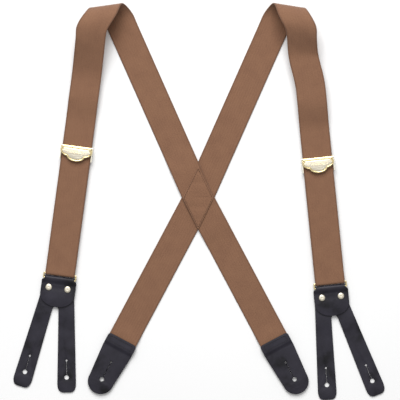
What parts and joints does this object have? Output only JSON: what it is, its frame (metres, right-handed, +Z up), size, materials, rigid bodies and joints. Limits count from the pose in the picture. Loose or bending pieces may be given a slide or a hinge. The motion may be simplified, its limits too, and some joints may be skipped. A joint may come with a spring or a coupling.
{
  "type": "suspenders",
  "caption": "Elastic dress suspenders with a crossed back, hinged brass slide adjusters and button-on black leather ends, laid flat.",
  "frame": {"origin": "on the floor under the middle of the crossing", "axes": "+Z up from the floor, +Y from the crossing towards the shoulder bends, +X across the straps"},
  "size_m": [0.4785, 0.511, 0.0318],
  "materials": {
    "webbing": "matte woven elastic",
    "leather": "satin",
    "brass": "satin",
    "steel": "drawn wire",
    "thread": "matte thread",
    "black_thread": "matte thread"
  },
  "bodies": {
    "straps": {"strap_left": "webbing", "rear_tab_left_back": "leather", "rear_tab_left_front": "leather", "rear_tab_left_seam": "black_thread", "strap_right": "webbing", "rear_tab_right_back": "leather", "rear_tab_right_front": "leather", "rear_tab_right_seam": "black_thread", "cross_patch": "webbing", "cross_patch_seam": "thread"},
    "lower_run_left": {"strap_left_lower_run": "webbing"},
    "adjuster_left": {"adjuster_left_frame": "brass", "adjuster_left_pin": "steel", "strap_left_sewn_end": "webbing", "strap_left_end_seam": "thread"},
    "cover_left": {"adjuster_left_cover": "brass"},
    "loop_left": {"wire_loop_left": "brass"},
    "leather_left": {"front_leather_left": "leather", "rivet_left_outer_cap": "brass", "rivet_left_outer_base": "brass", "rivet_left_inner_cap": "brass", "rivet_left_inner_base": "brass"},
    "lower_run_right": {"strap_right_lower_run": "webbing"},
    "adjuster_right": {"adjuster_right_frame": "brass", "adjuster_right_pin": "steel", "strap_right_sewn_end": "webbing", "strap_right_end_seam": "thread"},
    "cover_right": {"adjuster_right_cover": "brass"},
    "loop_right": {"wire_loop_right": "brass"},
    "leather_right": {"front_leather_right": "leather", "rivet_right_outer_cap": "brass", "rivet_right_outer_base": "brass", "rivet_right_inner_cap": "brass", "rivet_right_inner_base": "brass"}
  },
  "joints": [
    {"name": "adjuster_left_slide", "type": "slide", "parent": "straps", "child": "adjuster_left", "axis": [0.134, 0.991, 0], "range_m": [-0.2, 0.03]},
    {"name": "cover_left_hinge", "type": "hinge", "parent": "adjuster_left", "child": "cover_left", "pos_m": [-0.15571, 0.06541, 0.0085], "axis": [-0.991, 0.134, 0], "range_deg": [0, 100]},
    {"name": "lower_run_left_slide", "type": "slide", "parent": "straps", "child": "lower_run_left", "axis": [0.134, 0.991, 0], "range_m": [-0.1, 0.015], "deforming": ["strap_left_lower_run"]},
    {"name": "wire_loop_left_hinge", "type": "hinge", "parent": "lower_run_left", "child": "loop_left", "pos_m": [-0.17782, -0.0981, 0.00415], "axis": [-0.991, 0.134, 0], "range_deg": [-60, 60]},
    {"name": "front_leather_left_hinge", "type": "hinge", "parent": "loop_left", "child": "leather_left", "pos_m": [-0.17867, -0.10434, 0.00415], "axis": [-0.991, 0.134, 0], "range_deg": [-60, 60]},
    {"name": "adjuster_right_slide", "type": "slide", "parent": "straps", "child": "adjuster_right", "axis": [-0.1011, 0.9949, 0], "range_m": [-0.2, 0.03]},
    {"name": "cover_right_hinge", "type": "hinge", "parent": "adjuster_right", "child": "cover_right", "pos_m": [0.15336, 0.05091, 0.0085], "axis": [-0.9949, -0.1011, 0], "range_deg": [0, 100]},
    {"name": "lower_run_right_slide", "type": "slide", "parent": "straps", "child": "lower_run_right", "axis": [-0.1011, 0.9949, 0], "range_m": [-0.1, 0.015], "deforming": ["strap_right_lower_run"]},
    {"name": "wire_loop_right_hinge", "type": "hinge", "parent": "lower_run_right", "child": "loop_right", "pos_m": [0.16961, -0.1091, 0.00415], "axis": [-0.9949, -0.1011, 0], "range_deg": [-60, 60]},
    {"name": "front_leather_right_hinge", "type": "hinge", "parent": "loop_right", "child": "leather_right", "pos_m": [0.17025, -0.11537, 0.00415], "axis": [-0.9949, -0.1011, 0], "range_deg": [-60, 60]}
  ],
  "couplings": [
    {"joint": "lower_run_left_slide", "follows": "adjuster_left_slide", "ratio": 0.5},
    {"joint": "lower_run_right_slide", "follows": "adjuster_right_slide", "ratio": 0.5}
  ]
}
